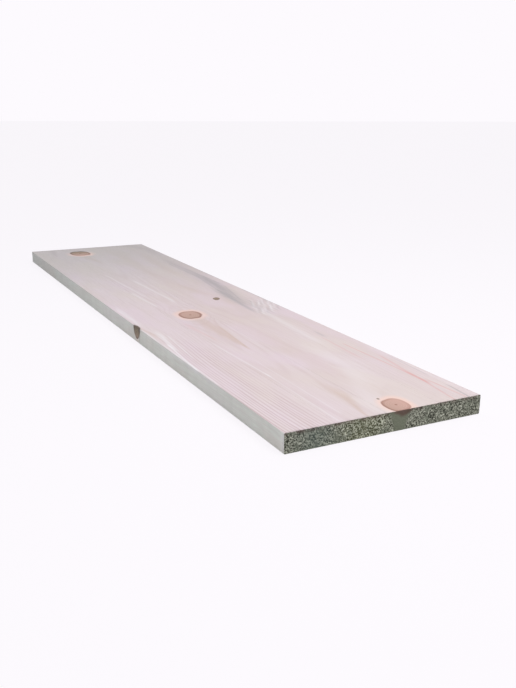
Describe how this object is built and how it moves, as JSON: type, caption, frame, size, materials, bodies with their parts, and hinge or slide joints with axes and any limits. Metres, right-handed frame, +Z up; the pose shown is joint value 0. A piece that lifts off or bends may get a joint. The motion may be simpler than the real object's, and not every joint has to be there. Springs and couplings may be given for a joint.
{
  "type": "edge-glued wood panel",
  "caption": "Flat rectangular softwood panel of full-length staves glued edge to edge, planed, with knots and saw-cut ends, for shelves and furniture.",
  "frame": {"origin": "centre of the panel's underside", "axes": "+X along the grain, towards the end nearer the viewer in the stored view; +Y across the width, from the front edge to the back edge; +Z up through the thickness"},
  "size_m": [0.9, 0.2, 0.018],
  "materials": {
    "planed_softwood": "matte"
  },
  "bodies": {
    "root": {"front_edge_stave": "planed_softwood", "front_inner_stave": "planed_softwood", "back_inner_stave": "planed_softwood", "back_edge_stave": "planed_softwood"}
  },
  "joints": []
}
